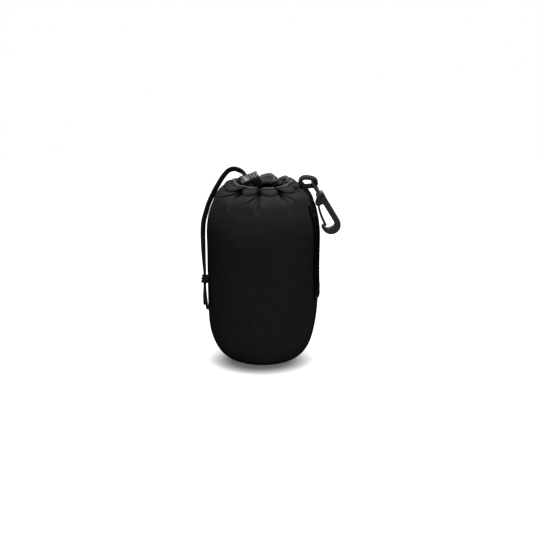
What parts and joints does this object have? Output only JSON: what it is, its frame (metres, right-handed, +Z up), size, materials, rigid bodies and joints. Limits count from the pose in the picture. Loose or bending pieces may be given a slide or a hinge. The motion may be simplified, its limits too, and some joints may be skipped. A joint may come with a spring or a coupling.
{
  "type": "lens pouch",
  "caption": "Round padded drawstring pouch for a camera lens, with a gathered hem, cord lock, webbing belt loop and a swivel snap hook.",
  "frame": {"origin": "centre of the underside of the base panel", "axes": "+Z up along the pouch from base to mouth, +X towards the snap hook, -Y is the front"},
  "size_m": [0.1253, 0.0998, 0.1742],
  "materials": {
    "neoprene": "knit-faced foam, matte",
    "plush": "soft brushed lining",
    "webbing": "woven nylon webbing",
    "cord": "braided nylon cord",
    "acetal": "moulded acetal, semi-gloss",
    "spring_steel": "bright wire"
  },
  "bodies": {
    "pouch": {"wall_panel": "neoprene", "base_panel": "neoprene", "wall_lining": "plush", "base_lining": "plush", "base_seam_tape": "webbing", "hem_casing": "neoprene", "belt_loop": "webbing", "hook_tab": "webbing", "drawcord": "cord", "cord_strand_a": "cord", "cord_strand_b": "cord", "cord_knot": "cord", "cord_tail_a": "cord", "cord_tail_b": "cord"},
    "lock": {"lock_barrel": "acetal", "lock_spring": "spring_steel"},
    "plunger": {"lock_plunger": "acetal"},
    "eye": {"swivel_eye": "acetal"},
    "hook": {"hook_frame": "acetal", "gate_pin": "spring_steel", "gate_spring": "spring_steel"},
    "gate": {"hook_gate": "acetal"}
  },
  "joints": [
    {"name": "lock_slide", "type": "slide", "parent": "pouch", "child": "lock", "axis": [-0.2842, 0.9048, 0.3172], "range_m": [0, 0.005]},
    {"name": "plunger_press", "type": "slide", "parent": "lock", "child": "plunger", "axis": [0.9142, 0.156, 0.3741], "range_m": [0, 0.003], "stiffness_N_per_m": 600, "springref_m": -0.003, "deforming": ["lock_spring"]},
    {"name": "eye_swing", "type": "hinge", "parent": "pouch", "child": "eye", "pos_m": [0.0446, 0, 0.163], "axis": [0, -1, 0], "range_deg": [0, 90]},
    {"name": "hook_swivel", "type": "hinge", "parent": "eye", "child": "hook", "pos_m": [0.04996, 0, 0.15409], "axis": [0.515, 0, -0.8572], "continuous": true},
    {"name": "gate_open", "type": "hinge", "parent": "hook", "child": "gate", "pos_m": [0.04979, 0, 0.14465], "axis": [0, -1, 0], "range_deg": [0, 16], "stiffness_Nm_per_rad": 0.02, "springref_deg": -17.19, "deforming": ["gate_spring"]}
  ]
}
